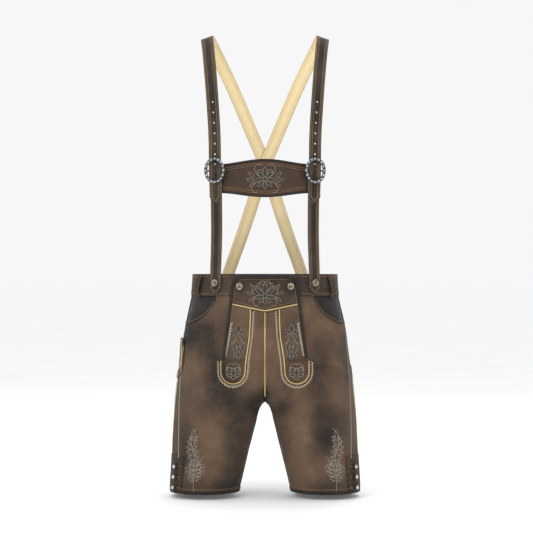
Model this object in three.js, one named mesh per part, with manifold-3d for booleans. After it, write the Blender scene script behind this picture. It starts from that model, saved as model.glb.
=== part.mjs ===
// Bavarian short leather trousers (lederhosen) with H-shaped braces, filled out as if worn, with no wearer.
// Millimetres. +Z is up, the garment faces -Y and +X is the wearer's left.
// The origin lies midway between the two braces where they rest on the wearer's shoulders.
import * as THREE from "three";
import { mergeVertices } from "three/addons/utils/BufferGeometryUtils.js";
import Module from "manifold-3d";

const wasm = await Module();
wasm.setup();

// ---------------------------------------------------------------- driving sizes

const WAIST_TOP = -531; // height of the waistband's upper edge
const WAISTBAND_HEIGHT = 48;
const CROTCH = 287; // below the waistband's upper edge, as every "drop" is
const HEM = 487;
const CREASE_HEIGHT = 60; // over this height above the crotch the centre seam sinks between the legs
const HIP_START = 110; // drop where the body's oval begins to part into two legs

const LEATHER = 1.8; // thickness of the trouser leather
const TRIM = 1.2; // thickness of bindings and thin edging
const SEAM_GAP = 0.3; // between neighbouring pieces

const HIP_ROUNDNESS = 2.3; // superellipse exponents: 2 is an ellipse, more is squarer
const LEG_ROUNDNESS = 2.05;
const INNER_THIGH_ROUNDNESS = 3.4;

// The trousers' horizontal sections: half width to the side seam, and depth before and behind that seam.
const BODY_SECTIONS = [
  { drop: 0, side: 161.5, front: 110, back: 115 },
  { drop: 48, side: 165, front: 111, back: 119 },
  { drop: 110, side: 179, front: 113, back: 127 },
  { drop: 190, side: 190.5, front: 112, back: 131 },
  { drop: 287, side: 202, front: 108, back: 121 },
  { drop: 385, side: 208.5, front: 95, back: 101 },
  { drop: 487, side: 213.5, front: 81, back: 86 },
];

// Drop front: the flap buttoned over the waistband, with a rounded tongue sewn down on each leg.
const FLAP = {
  top: 2,
  cornerRadius: 24,
  halfWidth: 70.5, // at the waist
  flare: 0.125, // growth of that half width for each millimetre of drop
  slitEnd: 183, // drop where the flap's free side edge ends
  pointDrop: 80, // the V seam under the crest, at the centre
  shoulderDrop: 64, // and at the flap's edge
  layer: 2.1, // how far the flap stands off the trousers at the waist
};
const TONGUE = { seam: 188, centreX: 70, centreDrop: 213.5, radius: 26.5 };
// The inner edge of each tongue, from the V seam to where its round end begins.
const TONGUE_EDGE = [
  { drop: 60, x: 31 },
  { drop: 130, x: 33.5 },
  { drop: 163, x: 38 },
  { drop: 190, x: 42 },
  { drop: 214, x: 43.5 },
];

const POCKET = { startX: 108, depth: 64, roundness: 1.6, facingBelow: 18, bindingWidth: 6 };
const KNIFE_POCKET = { top: 143, bottom: 236, frontT: 0.83, backT: 1.06, standOff: 3.2 };
const BELT_LOOP = { width: 16, gap: 5.6, thickness: 1.6, topX: 139, bottomX: 147, end: 4 };
const PLACKET = { top: 402, width: 26, buttons: [427, 450, 474], buttonT: 0.81 };
const HEM_BAND = 8;
const PIPING = { width: 2.4, height: 1.3 };

// One brace, on the wearer's left: up the front, over the shoulder, across the back to the right.
// lean is the outward tilt of the brace's face in degrees, as the body under it curves away.
const BRACE_PATH = [
  { x: 108, y: -93.8, z: -575, lean: 28 },
  { x: 108, y: -92.4, z: -531, lean: 28 },
  { x: 105.5, y: -97, z: -450, lean: 24 },
  { x: 106, y: -101, z: -370, lean: 21 },
  { x: 107, y: -103, z: -300, lean: 20 },
  { x: 110, y: -101.5, z: -220, lean: 19 },
  { x: 114.5, y: -95, z: -150, lean: 19 },
  { x: 119.5, y: -80, z: -88, lean: 19 },
  { x: 125.5, y: -47, z: -30, lean: 19 },
  { x: 129.5, y: 0, z: 0, lean: 19 },
  { x: 118, y: 40, z: -18, lean: 17 },
  { x: 100, y: 68, z: -52, lean: 14 },
  { x: 73, y: 88, z: -107, lean: 10 },
  { x: 29, y: 101, z: -210, lean: 3 },
  { x: 0, y: 104, z: -280, lean: 0 },
  { x: -33, y: 104, z: -383, lean: -8 },
  { x: -56, y: 105.5, z: -452, lean: -13 },
  { x: -79, y: 108.6, z: -516, lean: -18 },
  { x: -98, y: 107, z: -575, lean: -24 },
];
const BRACE = { width: 28.5, face: 1.5, backing: 1.2, tip: 13, upperEnd: -376 };
const LOWER_BRACE = { width: 26.5, thickness: 2.4, tip: 13, top: -298 };
const HOLES = { first: -153, spacing: 23, count: 8, radius: 2, prong: 6, prongRadius: 3 };
const CROSSING = { z: -280, reach: 95, lift: 3.5 };
const BUCKLE = {
  z: -304, halfWidth: 23.5, halfHeight: 28.5, band: 6.2, thickness: 3.4,
  back: 9.1, barBack: 2.8, barThickness: 1.9, barHeight: 3.4,
};
const CROSSBAR = {
  halfWidth: 118, thickness: 2.2, endY: -100.6, bow: 19.5, bowX: 107,
  centreTop: -279, centreBottom: -363, endTop: -290, endBottom: -353, binding: 4.5,
};

// ---------------------------------------------------------------- materials

const material = (color, roughness, metalness = 0) =>
  new THREE.MeshStandardMaterial({ color, roughness, metalness });
const MATERIALS = {
  leather: material(0x5b4a3d, 0.85),
  darkLeather: material(0x383330, 0.8),
  creamLeather: material(0xe6cc92, 0.8),
  metal: material(0x8e9093, 0.4, 1),
  horn: material(0xd9cdb6, 0.45),
  darkHorn: material(0x3a3836, 0.35),
};

// ---------------------------------------------------------------- small mathematics

const mix = (a, b, t) => a + (b - a) * t;
const clamp01 = (t) => Math.min(1, Math.max(0, t));
const range = (from, to, steps) => Array.from({ length: steps + 1 }, (_, i) => mix(from, to, i / steps));
const radians = THREE.MathUtils.degToRad;

function smoothstep(low, high, value) {
  const t = clamp01((value - low) / (high - low));
  return t * t * (3 - 2 * t);
}

// A smooth curve through a table's rows: the value in one column at a given key.
function lookUp(rows, key, column, at) {
  const last = rows.length - 1;
  let i = 0;
  while (i < last - 1 && at > rows[i + 1][key]) i++;
  const slope = (k) => {
    const a = rows[Math.max(0, k - 1)];
    const b = rows[Math.min(last, k + 1)];
    return (b[column] - a[column]) / (b[key] - a[key]);
  };
  const width = rows[i + 1][key] - rows[i][key];
  const t = clamp01((at - rows[i][key]) / width);
  const t2 = t * t;
  const t3 = t2 * t;
  return (
    (2 * t3 - 3 * t2 + 1) * rows[i][column] +
    (t3 - 2 * t2 + t) * width * slope(i) +
    (3 * t2 - 2 * t3) * rows[i + 1][column] +
    (t3 - t2) * width * slope(i + 1)
  );
}

// ---------------------------------------------------------------- the trousers' form

// Height of a superellipse of radius 1 over its axis.
const oval = (u, roundness) => Math.pow(Math.max(0, 1 - Math.pow(Math.abs(u), roundness)), 1 / roundness);

// 0 above the crease, 1 at the crotch and below it: a quarter circle, so that the seam runs under.
function creaseAt(drop) {
  const t = clamp01((drop - (CROTCH - CREASE_HEIGHT)) / CREASE_HEIGHT);
  return 1 - Math.sqrt(1 - t * t);
}

// The gap between the legs: a small round arch, then a straight inseam.
function innerEdge(drop) {
  const below = Math.max(0, drop - CROTCH);
  return 9 * (1 - Math.exp(-below / 5)) + 0.245 * below;
}

function section(drop, lift) {
  const column = (name) => lookUp(BODY_SECTIONS, "drop", name, drop) + lift;
  const crease = creaseAt(drop);
  const side = column("side");
  const inner = innerEdge(drop) - lift * crease;
  return {
    side, inner, crease,
    front: column("front"),
    back: column("back"),
    thigh: smoothstep(HIP_START, CROTCH, drop),
    centre: (side + inner) / 2,
    half: (side - inner) / 2,
    innerRoundness: mix(INNER_THIGH_ROUNDNESS, LEG_ROUNDNESS, smoothstep(CROTCH, HEM, drop)),
  };
}

// Depth of the leather before (or behind) the side seam, x millimetres from the centre.
function depthAt(x, cut, face) {
  const u = (x - cut.centre) / cut.half;
  const outer = u < 0 ? 1 : oval(u, LEG_ROUNDNESS);
  const leg = u < 0 ? oval(u, cut.innerRoundness) : outer;
  const body = mix(oval(x / cut.side, HIP_ROUNDNESS), outer, cut.thigh);
  return cut[face] * mix(body, leg, cut.crease);
}

const onBody = (side, x, y, drop) => new THREE.Vector3(side * x, y, WAIST_TOP - drop);

// A point by its distance x from the centre, on the front. Side is 1 on the wearer's left, -1 on the right.
function frontPoint(side, x, drop, lift) {
  return onBody(side, x, -depthAt(Math.abs(x), section(drop, lift), "front"), drop);
}

// A point by its place round one side: t is 0 at the centre front or inseam, 1 at the side seam and 2 at
// the centre back.
function roundPoint(side, t, drop, lift) {
  const cut = section(drop, lift);
  const s = t <= 1 ? t : 2 - t;
  const hipX = cut.side * Math.sin((Math.PI / 2) * s);
  const legX = cut.centre - cut.half * Math.cos(Math.PI * s);
  const x = mix(hipX, legX, cut.thigh);
  const face = t <= 1 ? "front" : "back";
  const depth = depthAt(x, cut, face);
  return onBody(side, x, face === "front" ? -depth : depth, drop);
}

// The same, kept half a seam gap off the planes in which the trousers' pieces meet.
function panelPoint(side, t, drop, lift, face) {
  const p = roundPoint(1, t, drop, lift);
  const half = SEAM_GAP / 2;
  p.x = side * Math.max(p.x, half);
  p.y = face === "front" ? Math.min(p.y, -half) : Math.max(p.y, half);
  return p;
}

const outwardAt = (side, t, drop) =>
  roundPoint(side, t, drop, 1).sub(roundPoint(side, t, drop, 0)).setZ(0).normalize();

// ---------------------------------------------------------------- building walls

function geometryOf(points, triangles) {
  const geometry = new THREE.BufferGeometry().setFromPoints(points);
  let volume = 0;
  for (const [a, b, c] of triangles) {
    volume += points[a].dot(new THREE.Vector3().crossVectors(points[b], points[c]));
  }
  const index = volume < 0 ? triangles.map(([a, b, c]) => [a, c, b]) : triangles;
  geometry.setIndex(index.flat());
  return geometry;
}

// A closed wall between two matching grids of points, outer and inner.
function wall(outer, inner) {
  const rows = outer.length;
  const columns = outer[0].length;
  const points = [...outer.flat(), ...inner.flat()];
  const triangles = [];
  const at = (layer, i, j) => layer * rows * columns + i * columns + j;
  const quad = (a, b, c, d) => triangles.push([a, b, c], [a, c, d]);
  for (let i = 0; i < rows - 1; i++) {
    for (let j = 0; j < columns - 1; j++) {
      quad(at(0, i, j), at(0, i, j + 1), at(0, i + 1, j + 1), at(0, i + 1, j));
      quad(at(1, i, j), at(1, i + 1, j), at(1, i + 1, j + 1), at(1, i, j + 1));
    }
  }
  for (let j = 0; j < columns - 1; j++) {
    quad(at(1, 0, j), at(1, 0, j + 1), at(0, 0, j + 1), at(0, 0, j));
    quad(at(0, rows - 1, j), at(0, rows - 1, j + 1), at(1, rows - 1, j + 1), at(1, rows - 1, j));
  }
  for (let i = 0; i < rows - 1; i++) {
    quad(at(0, i, 0), at(0, i + 1, 0), at(1, i + 1, 0), at(1, i, 0));
    quad(at(1, i, columns - 1), at(1, i + 1, columns - 1), at(0, i + 1, columns - 1), at(0, i, columns - 1));
  }
  return geometryOf(points, triangles);
}

// A wall from a function of place and lift, over rows and columns of parameters.
function wallOver(rowValues, columnValues, low, high, point) {
  const layer = (lift) => rowValues.map((r) => columnValues.map((c) => point(r, c, lift)));
  return wall(layer(high), layer(low));
}

// A narrow strip along a line of (x, drop) points, offset to one side of it by from and to.
function strip(line, from, to, low, high, place) {
  const layer = (lift) =>
    line.map((p, i) => {
      const before = line[Math.max(0, i - 1)];
      const after = line[Math.min(line.length - 1, i + 1)];
      const along = new THREE.Vector2().subVectors(after, before).normalize();
      const across = new THREE.Vector2(-along.y, along.x);
      const off = (d) => new THREE.Vector2().copy(p).addScaledVector(across, d);
      return [from, to].map((d) => place(off(d), lift));
    });
  return wall(layer(high), layer(low));
}

const garment = new THREE.Group();

function add(name, geometry, kind) {
  geometry.computeVertexNormals();
  const mesh = new THREE.Mesh(geometry, MATERIALS[kind]);
  mesh.name = name;
  garment.add(mesh);
  return mesh;
}

const SIDES = [
  { name: "left", side: 1 },
  { name: "right", side: -1 },
];

// ---------------------------------------------------------------- leg panels

// The pocket mouth cuts the front panel's upper corner away: drop of the panel's top edge at x.
function pocketMouth(x) {
  const end = lookUp(BODY_SECTIONS, "drop", "side", WAISTBAND_HEIGHT + POCKET.depth);
  const u = clamp01((x - POCKET.startX) / (end - POCKET.startX));
  return WAISTBAND_HEIGHT + POCKET.depth * oval(1 - u, POCKET.roundness);
}

const PANEL_TOP = WAISTBAND_HEIGHT + SEAM_GAP;
const PANEL_ROWS = [
  ...range(PANEL_TOP, CROTCH - CREASE_HEIGHT, 7),
  ...[22, 44, 66, 90].map((a) => CROTCH - CREASE_HEIGHT * (1 - Math.sin(radians(a)))),
  ...[5, 14].map((below) => CROTCH + below),
  ...range(CROTCH + 40, HEM, 4),
];
const PANEL_COLUMNS = [...range(0, 0.5, 8), ...range(0.5, 1, 6).slice(1)];

function legPanel(side, face) {
  const column = (s) => (face === "front" ? s : 2 - s);
  return wallOver(PANEL_ROWS, PANEL_COLUMNS, -LEATHER, 0, (row, s, lift) => {
    const fade = 1 - smoothstep(PANEL_TOP, 190, row);
    const x = roundPoint(1, s, PANEL_TOP, 0).x;
    const cutAway = face === "front" ? (pocketMouth(x) - WAISTBAND_HEIGHT) * fade : 0;
    return panelPoint(side, column(s), row + cutAway, lift, face);
  });
}

for (const { name, side } of SIDES) {
  add(`front_leg_${name}`, legPanel(side, "front"), "leather");
  add(`back_leg_${name}`, legPanel(side, "back"), "leather");
}

// ---------------------------------------------------------------- waistband

const BAND_LOW = -0.6;
const BAND_HIGH = 1.8;

for (const { name, side } of SIDES) {
  const band = wallOver([0, 24, WAISTBAND_HEIGHT], range(0, 1, 10), BAND_LOW, BAND_HIGH, (drop, t, lift) =>
    panelPoint(side, t, drop, lift, "front"),
  );
  add(`waistband_front_${name}`, band, "leather");
}
const BAND_ROWS = [0, 24, WAISTBAND_HEIGHT];
const backBand = wallOver(BAND_ROWS, range(-1, 1, 20), BAND_LOW, BAND_HIGH, (drop, s, lift) => {
  const p = roundPoint(s < 0 ? -1 : 1, 1 + (1 - Math.abs(s)), drop, lift);
  return p.setY(Math.max(p.y, SEAM_GAP / 2));
});
add("waistband_back", backBand, "leather");

// ---------------------------------------------------------------- drop front

const flapEdge = (drop) => FLAP.halfWidth + FLAP.flare * drop;
const flapLift = (drop) => mix(FLAP.layer, SEAM_GAP, smoothstep(60, 150, drop));
const tongueEdge = (drop) => lookUp(TONGUE_EDGE, "drop", "x", drop);
const vSeam = (x) => mix(FLAP.pointDrop, FLAP.shoulderDrop, Math.abs(x) / flapEdge(FLAP.shoulderDrop));
const FLAP_CORNER = FLAP.top + FLAP.cornerRadius;

// On the flap's layer, lift above the trousers' own leather.
const onFlap = (side, x, drop, lift) => frontPoint(side, x, drop, lift + flapLift(drop));

function flapTopEdge(x) {
  const past = Math.abs(x) - (flapEdge(FLAP_CORNER) - FLAP.cornerRadius);
  const r = FLAP.cornerRadius;
  return FLAP.top + (past > 0 ? r - Math.sqrt(Math.max(0, r * r - past * past)) : 0);
}

const flapTop = wallOver(range(0, 1, 4), range(-90, 90, 22), 0, LEATHER, (v, angle, lift) => {
  const share = Math.sin(radians(angle));
  const top = flapTopEdge(share * flapEdge(FLAP_CORNER));
  const drop = mix(top, vSeam(share * flapEdge(FLAP.shoulderDrop)), v);
  return onFlap(1, share * flapEdge(Math.max(drop, FLAP_CORNER)), drop, lift);
});
add("latz_top", flapTop, "leather");

for (const { name, side } of SIDES) {
  const panel = wallOver(range(0, 1, 6), range(0, 1, 4), 0, LEATHER, (v, u, lift) => {
    const topX = mix(tongueEdge(FLAP.pointDrop), flapEdge(FLAP.shoulderDrop), u);
    const drop = mix(vSeam(topX) + SEAM_GAP, TONGUE.seam - SEAM_GAP, v);
    return onFlap(side, mix(tongueEdge(drop), flapEdge(drop), u), drop, lift);
  });
  add(`latz_side_${name}`, panel, "leather");

  const end = wallOver(range(0, 1, 3), range(-90, 90, 12), 0, LEATHER, (v, angle, lift) => {
    const share = Math.sin(radians(angle));
    const depth = TONGUE.centreDrop - TONGUE.seam + TONGUE.radius * Math.cos(radians(angle));
    const drop = TONGUE.seam + v * depth;
    const pull = ((1 - share) / 2) * (tongueEdge(Math.min(drop, 214)) - tongueEdge(214));
    return onFlap(side, TONGUE.centreX + TONGUE.radius * share + pull, drop, lift);
  });
  add(`latz_end_${name}`, end, "leather");
}

// The dark binding of the flap's free edge, from one slit's end over the top to the other's.
const flapOutline = new THREE.Path();
const cornerX = flapEdge(FLAP_CORNER) - FLAP.cornerRadius;
flapOutline.moveTo(-flapEdge(FLAP.slitEnd), FLAP.slitEnd);
flapOutline.lineTo(-flapEdge(FLAP_CORNER), FLAP_CORNER);
flapOutline.absarc(-cornerX, FLAP_CORNER, FLAP.cornerRadius, Math.PI, 1.5 * Math.PI, false);
flapOutline.absarc(cornerX, FLAP_CORNER, FLAP.cornerRadius, 1.5 * Math.PI, 2 * Math.PI, false);
flapOutline.lineTo(flapEdge(FLAP.slitEnd), FLAP.slitEnd);
const FLAP_BINDING_WIDTH = 6.5;
const aboveFlap = LEATHER + SEAM_GAP;
const binding = strip(
  flapOutline.getSpacedPoints(64), 0, FLAP_BINDING_WIDTH, aboveFlap, aboveFlap + TRIM,
  (p, lift) => onFlap(1, p.x, p.y, lift),
);
add("latz_binding", binding, "darkLeather");

// ---------------------------------------------------------------- pockets

const pocketLine = range(0, 90, 14).map((angle) => {
  const share = 1 - Math.pow(Math.cos(radians(angle)), 2 / POCKET.roundness);
  const end = lookUp(BODY_SECTIONS, "drop", "side", WAISTBAND_HEIGHT + POCKET.depth) - 1.5;
  const x = mix(POCKET.startX, end, share);
  return new THREE.Vector2(x, pocketMouth(x));
});
const FACING_HIGH = -LEATHER - 0.7;
const FACING_LOW = FACING_HIGH - 1.4;
const FACING_COLUMNS = PANEL_COLUMNS.filter((s) => s > 0.42);

for (const { name, side } of SIDES) {
  const facing = wallOver(range(0, 1, 4), FACING_COLUMNS, FACING_LOW, FACING_HIGH, (v, t, lift) => {
    const x = roundPoint(1, t, PANEL_TOP, 0).x;
    const bottom = pocketMouth(x + 14) + POCKET.facingBelow;
    return panelPoint(side, t, mix(PANEL_TOP, bottom, v), lift, "front");
  });
  add(`pocket_facing_${name}`, facing, "darkLeather");

  const base = SEAM_GAP + 0.4;
  const edge = strip(pocketLine.slice(1), -POCKET.bindingWidth, 0, base, base + TRIM, (p, lift) =>
    frontPoint(side, p.x, Math.max(p.y, PANEL_TOP), lift),
  );
  add(`pocket_binding_${name}`, edge, "darkLeather");
}

// The knife pocket sits over the right side seam. Its lower front corner sweeps back to that seam.
function knifePocketPoint(v, t, lift) {
  const corner = 1 - oval(1 - clamp01((t - KNIFE_POCKET.frontT) / (1 - KNIFE_POCKET.frontT)), 2);
  const bottom = KNIFE_POCKET.bottom - 34 * corner;
  const off = SEAM_GAP + KNIFE_POCKET.standOff * (1 - smoothstep(0, 0.7, v));
  return roundPoint(-1, t, mix(KNIFE_POCKET.top, bottom, v), lift + off);
}
const knifePocket = wallOver(
  range(0, 1, 6), [...range(KNIFE_POCKET.frontT, 1, 6), KNIFE_POCKET.backT], 0, 1.6, knifePocketPoint,
);
add("knife_pocket_right", knifePocket, "leather");

// ---------------------------------------------------------------- belt loops

// A loop stands off the waistband between its two sewn ends. Its place is across (-1 to 1) at a drop.
function beltLoop(place) {
  const bottom = WAISTBAND_HEIGHT + 2;
  const drops = [0.6, BELT_LOOP.end, 9, 20, 34, 41, bottom - BELT_LOOP.end, bottom];
  return wallOver(drops, [-1, 0, 1], 0, BELT_LOOP.thickness, (drop, across, lift) => {
    const free = smoothstep(BELT_LOOP.end - 1, 12, drop) * (1 - smoothstep(38, bottom - 3, drop));
    return place(drop, across, lift + BAND_HIGH + SEAM_GAP + BELT_LOOP.gap * free);
  });
}

// Where on a round section (t) a point of the front lies that is x from the centre, above the hips.
const hipT = (x, drop) => Math.asin(x / section(drop, 0).side) / (Math.PI / 2);
const LOOP_HALF_T = 0.042;
for (const { name, side } of SIDES) {
  const loop = beltLoop((drop, across, lift) => {
    const x = mix(BELT_LOOP.topX, BELT_LOOP.bottomX, drop / WAISTBAND_HEIGHT);
    return roundPoint(side, hipT(x, drop) + across * LOOP_HALF_T, drop, lift);
  });
  add(`belt_loop_${name}`, loop, "leather");
}
const centreLoop = beltLoop((drop, across, lift) =>
  onBody(1, (across * BELT_LOOP.width) / 2, section(drop, lift).back, drop));
add("belt_loop_back", centreLoop, "leather");

// ---------------------------------------------------------------- leg ends

const HEM_COLUMNS = [...PANEL_COLUMNS, ...PANEL_COLUMNS.slice(0, -1).reverse().map((s) => 2 - s)];

for (const { name, side } of SIDES) {
  const placket = wallOver(range(PLACKET.top, HEM - HEM_BAND - 1, 4), range(0.72, 0.965, 5), SEAM_GAP, 1.5,
    (drop, t, lift) => roundPoint(side, t, drop, lift));
  add(`side_placket_${name}`, placket, "leather");

  const base = SEAM_GAP + 0.2;
  const hem = wallOver([HEM - HEM_BAND, HEM], HEM_COLUMNS, base, base + TRIM, (drop, t, lift) =>
    panelPoint(side, t, drop, lift, t <= 1 ? "front" : "back"));
  add(`hem_band_${name}`, hem, "darkLeather");
}

// ---------------------------------------------------------------- piping

const pipingWall = (line, base, place) =>
  strip(line, -PIPING.width / 2, PIPING.width / 2, base, base + PIPING.height, place);

const vLine = range(-1, 1, 16).map((u) => {
  const x = u * (flapEdge(FLAP.shoulderDrop) - FLAP_BINDING_WIDTH - 1);
  return new THREE.Vector2(x, vSeam(x));
});
add("piping_v_seam", pipingWall(vLine, aboveFlap, (p, lift) => onFlap(1, p.x, p.y, lift)), "creamLeather");

const tongueLine = new THREE.Path();
tongueLine.moveTo(tongueEdge(77), 77);
tongueLine.splineThru(
  TONGUE_EDGE.slice(1, -1).map((row) => new THREE.Vector2(row.x, row.drop))
    .concat(new THREE.Vector2(TONGUE.centreX - TONGUE.radius, TONGUE.centreDrop)),
);
tongueLine.absarc(TONGUE.centreX, TONGUE.centreDrop, TONGUE.radius, Math.PI, 0, true);
tongueLine.lineTo(TONGUE.centreX + TONGUE.radius, TONGUE.seam + 1);
for (const { name, side } of SIDES) {
  const line = tongueLine.getSpacedPoints(44);
  const cord = pipingWall(line, aboveFlap, (p, lift) => onFlap(side, p.x, p.y, lift));
  add(`piping_tongue_${name}`, cord, "creamLeather");
}

// It ends where the centre seam sinks out of sight between the thighs.
const centreDrops = [FLAP.pointDrop + 3, ...PANEL_ROWS.filter((drop) => drop > 90 && drop < CROTCH - 15)];
const centreLine = centreDrops.map((drop) => new THREE.Vector2(0, drop));
const centreCord = pipingWall(centreLine, SEAM_GAP + 0.3, (p, lift) =>
  onBody(1, p.x, -depthAt(6, section(p.y, 0), "front") - lift, p.y));
add("piping_centre", centreCord, "creamLeather");

// The side seam's piping lies a little before the side, more so towards the placket.
for (const { name, side } of SIDES) {
  const top = side > 0 ? 205 : KNIFE_POCKET.bottom + 3;
  const cord = wallOver(range(top, PLACKET.top - 2, 8), [-1, 1], SEAM_GAP, SEAM_GAP + PIPING.height,
    (drop, across, lift) => {
      const t = mix(1, 0.93, smoothstep(190, PLACKET.top, drop)) + across * 0.0085;
      return roundPoint(side, t, drop, lift);
    });
  add(`piping_side_${name}`, cord, "creamLeather");
}

const pocketEdgeLine = range(0, 1, 12).map((k) => {
  const swing = smoothstep(0.45, 1, k);
  const t = mix(KNIFE_POCKET.frontT, 0.995, swing * swing) + 0.012;
  const drop = mix(KNIFE_POCKET.top + 2, KNIFE_POCKET.bottom - 4, k);
  return { t, drop };
});
const knifeCord = wall(
  ...[PIPING.height, 0].map((rise) =>
    pocketEdgeLine.map(({ t, drop }) => {
      const share = (drop - KNIFE_POCKET.top) / (KNIFE_POCKET.bottom - KNIFE_POCKET.top);
      const off = SEAM_GAP + KNIFE_POCKET.standOff * (1 - smoothstep(0, 0.7, share)) + 2.6;
      return [-1, 1].map((across) => roundPoint(-1, t + across * 0.008, drop, off + rise));
    }),
  ),
);
add("piping_knife_pocket", knifeCord, "creamLeather");

// ---------------------------------------------------------------- braces

const braceCurve = new THREE.CatmullRomCurve3(
  BRACE_PATH.map(({ x, y, z }) => new THREE.Vector3(x, y, z)), false, "centripetal",
);
const LAST_ROW = BRACE_PATH.length - 1;
const TOP_ROW = BRACE_PATH.findIndex((row) => row.z === 0);

// The brace's frame at a place along it: 0 at the front waist, 1 at the back waist.
function braceFrame(place) {
  const row = place * LAST_ROW;
  const i = Math.min(LAST_ROW - 1, Math.floor(row));
  const lean = radians(mix(BRACE_PATH[i].lean, BRACE_PATH[i + 1].lean, row - i));
  const along = braceCurve.getTangent(place);
  const outward = new THREE.Vector3(0, -along.z, along.y).normalize().multiplyScalar(Math.cos(lean));
  outward.x = Math.sin(lean);
  outward.addScaledVector(along, -outward.dot(along)).normalize();
  const across = new THREE.Vector3().crossVectors(along, outward).normalize();
  return { centre: braceCurve.getPoint(place), along, outward, across };
}

// The place along the front half (or the back half) of the brace that lies at height z.
function placeAtHeight(z, behind = false) {
  let low = behind ? TOP_ROW / LAST_ROW : 0;
  let high = behind ? 1 : TOP_ROW / LAST_ROW;
  for (let i = 0; i < 40; i++) {
    const middle = (low + high) / 2;
    const below = braceCurve.getPoint(middle).z < z;
    if (below === behind) high = middle;
    else low = middle;
  }
  return (low + high) / 2;
}

// The upper brace rises over the lower one and the buckle's bar; one brace passes outside the other behind.
function upperLift(place, side) {
  const { z } = braceCurve.getPoint(place);
  if (place < TOP_ROW / LAST_ROW) {
    const overLower = 2.9 * (1 - smoothstep(-290, -215, z));
    const overBar = 2.4 * Math.exp(-(((z - BUCKLE.z) / 26) ** 2));
    return overLower + overBar;
  }
  const near = 1 - smoothstep(0.42, 1, Math.abs(z - CROSSING.z) / CROSSING.reach);
  return side < 0 ? CROSSING.lift * near : 0;
}

// A strip of the brace between two places. Half widths taper to a point at each pointed end.
function braceStrip(side, places, width, low, high, tips, lift) {
  const lengths = places.map((p, i) =>
    i === 0 ? 0 : braceCurve.getPoint(p).distanceTo(braceCurve.getPoint(places[i - 1])));
  const run = lengths.map((_, i) => lengths.slice(0, i + 1).reduce((sum, d) => sum + d, 0));
  const total = run[run.length - 1];
  const layer = (height) =>
    places.map((place, i) => {
      const { centre, outward, across } = braceFrame(place);
      const fromTip = Math.min(tips.start ? run[i] : Infinity, tips.end ? total - run[i] : Infinity);
      const half = (width / 2) * Math.max(0.03, clamp01(fromTip / BRACE.tip));
      return [-1, -0.34, 0.34, 1].map((share) => {
        const p = centre.clone().addScaledVector(outward, height + lift(place));
        return p.addScaledVector(across, share * half).multiply(new THREE.Vector3(side, 1, 1));
      });
    });
  return wall(layer(high), layer(low));
}

const step = (from, distance) => from + distance / braceCurve.getLength();
function bracePlaces(from, to, count, tips) {
  const places = range(from, to, count);
  if (tips.start) places.splice(1, 0, step(from, BRACE.tip));
  if (tips.end) places.splice(places.length - 1, 0, step(to, -BRACE.tip));
  return places.sort((a, b) => a - b);
}

function solidOf(geometry) {
  const bare = geometry.clone();
  for (const name of ["normal", "uv"]) bare.deleteAttribute(name);
  const merged = mergeVertices(bare.toNonIndexed(), 1e-4);
  return new wasm.Manifold(
    new wasm.Mesh({
      numProp: 3,
      vertProperties: merged.attributes.position.array,
      triVerts: new Uint32Array(merged.index.array),
    }),
  );
}

function geometryFrom(solid) {
  const { vertProperties, triVerts } = solid.getMesh();
  return new THREE.BufferGeometry()
    .setAttribute("position", new THREE.BufferAttribute(vertProperties, 3))
    .setIndex(new THREE.BufferAttribute(triVerts, 1));
}

// A matrix that takes local x across the brace, y along it and z outwards, at a place and lift.
function braceMatrix(side, place, lift) {
  const { centre, outward, across } = braceFrame(place);
  const flip = new THREE.Vector3(side, 1, 1);
  const z = outward.clone().multiply(flip);
  const x = across.clone().multiply(flip).multiplyScalar(side);
  const y = new THREE.Vector3().crossVectors(z, x);
  const at = centre.clone().addScaledVector(outward, lift).multiply(flip);
  return new THREE.Matrix4().makeBasis(x, y, z).setPosition(at);
}

function punchHoles(geometry, side) {
  let solid = solidOf(geometry);
  for (let i = 0; i < HOLES.count; i++) {
    const place = placeAtHeight(HOLES.first - i * HOLES.spacing);
    const radius = i === HOLES.prong ? HOLES.prongRadius : HOLES.radius;
    const punch = new THREE.CylinderGeometry(radius, radius, 16, 8).rotateX(Math.PI / 2);
    punch.applyMatrix4(braceMatrix(side, place, upperLift(place, side)));
    solid = solid.subtract(solidOf(punch));
  }
  return geometryFrom(solid);
}

for (const { name, side } of SIDES) {
  const upperStart = placeAtHeight(BRACE.upperEnd);
  const tips = { start: true, end: true };
  const places = bracePlaces(upperStart, 1, 44, tips);
  const lift = (place) => upperLift(place, side);
  const backing = braceStrip(side, places, BRACE.width - 1, 0, BRACE.backing, tips, lift);
  add(`strap_backing_${name}`, punchHoles(backing, side), "creamLeather");
  const faceLow = BRACE.backing + SEAM_GAP;
  const face = braceStrip(side, places, BRACE.width, faceLow, faceLow + BRACE.face, tips, lift);
  add(`strap_${name}`, punchHoles(face, side), "leather");

  const lowerTips = { start: true, end: false };
  const lowerPlaces = bracePlaces(0, placeAtHeight(LOWER_BRACE.top), 12, lowerTips);
  const { width, thickness } = LOWER_BRACE;
  const lower = braceStrip(side, lowerPlaces, width, 0, thickness, lowerTips, () => 0);
  add(`lower_strap_${name}`, lower, "leather");
}

// ---------------------------------------------------------------- crossbar

const crossbarY = (x) => CROSSBAR.endY - CROSSBAR.bow * (1 - (x / CROSSBAR.bowX) ** 2);
const crossbarEdge = (x, centre, end) =>
  mix(centre, end, (1 - Math.cos(Math.PI * clamp01(Math.abs(x) / CROSSBAR.bowX))) / 2);
const crossbarTop = (x) => crossbarEdge(x, CROSSBAR.centreTop, CROSSBAR.endTop);
const crossbarBottom = (x) => crossbarEdge(x, CROSSBAR.centreBottom, CROSSBAR.endBottom);
const crossbarPoint = (x, z, lift) => new THREE.Vector3(x, crossbarY(x) - lift, z);
const crossbarX = range(-1, 1, 20).map((u) => u * CROSSBAR.halfWidth);

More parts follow.
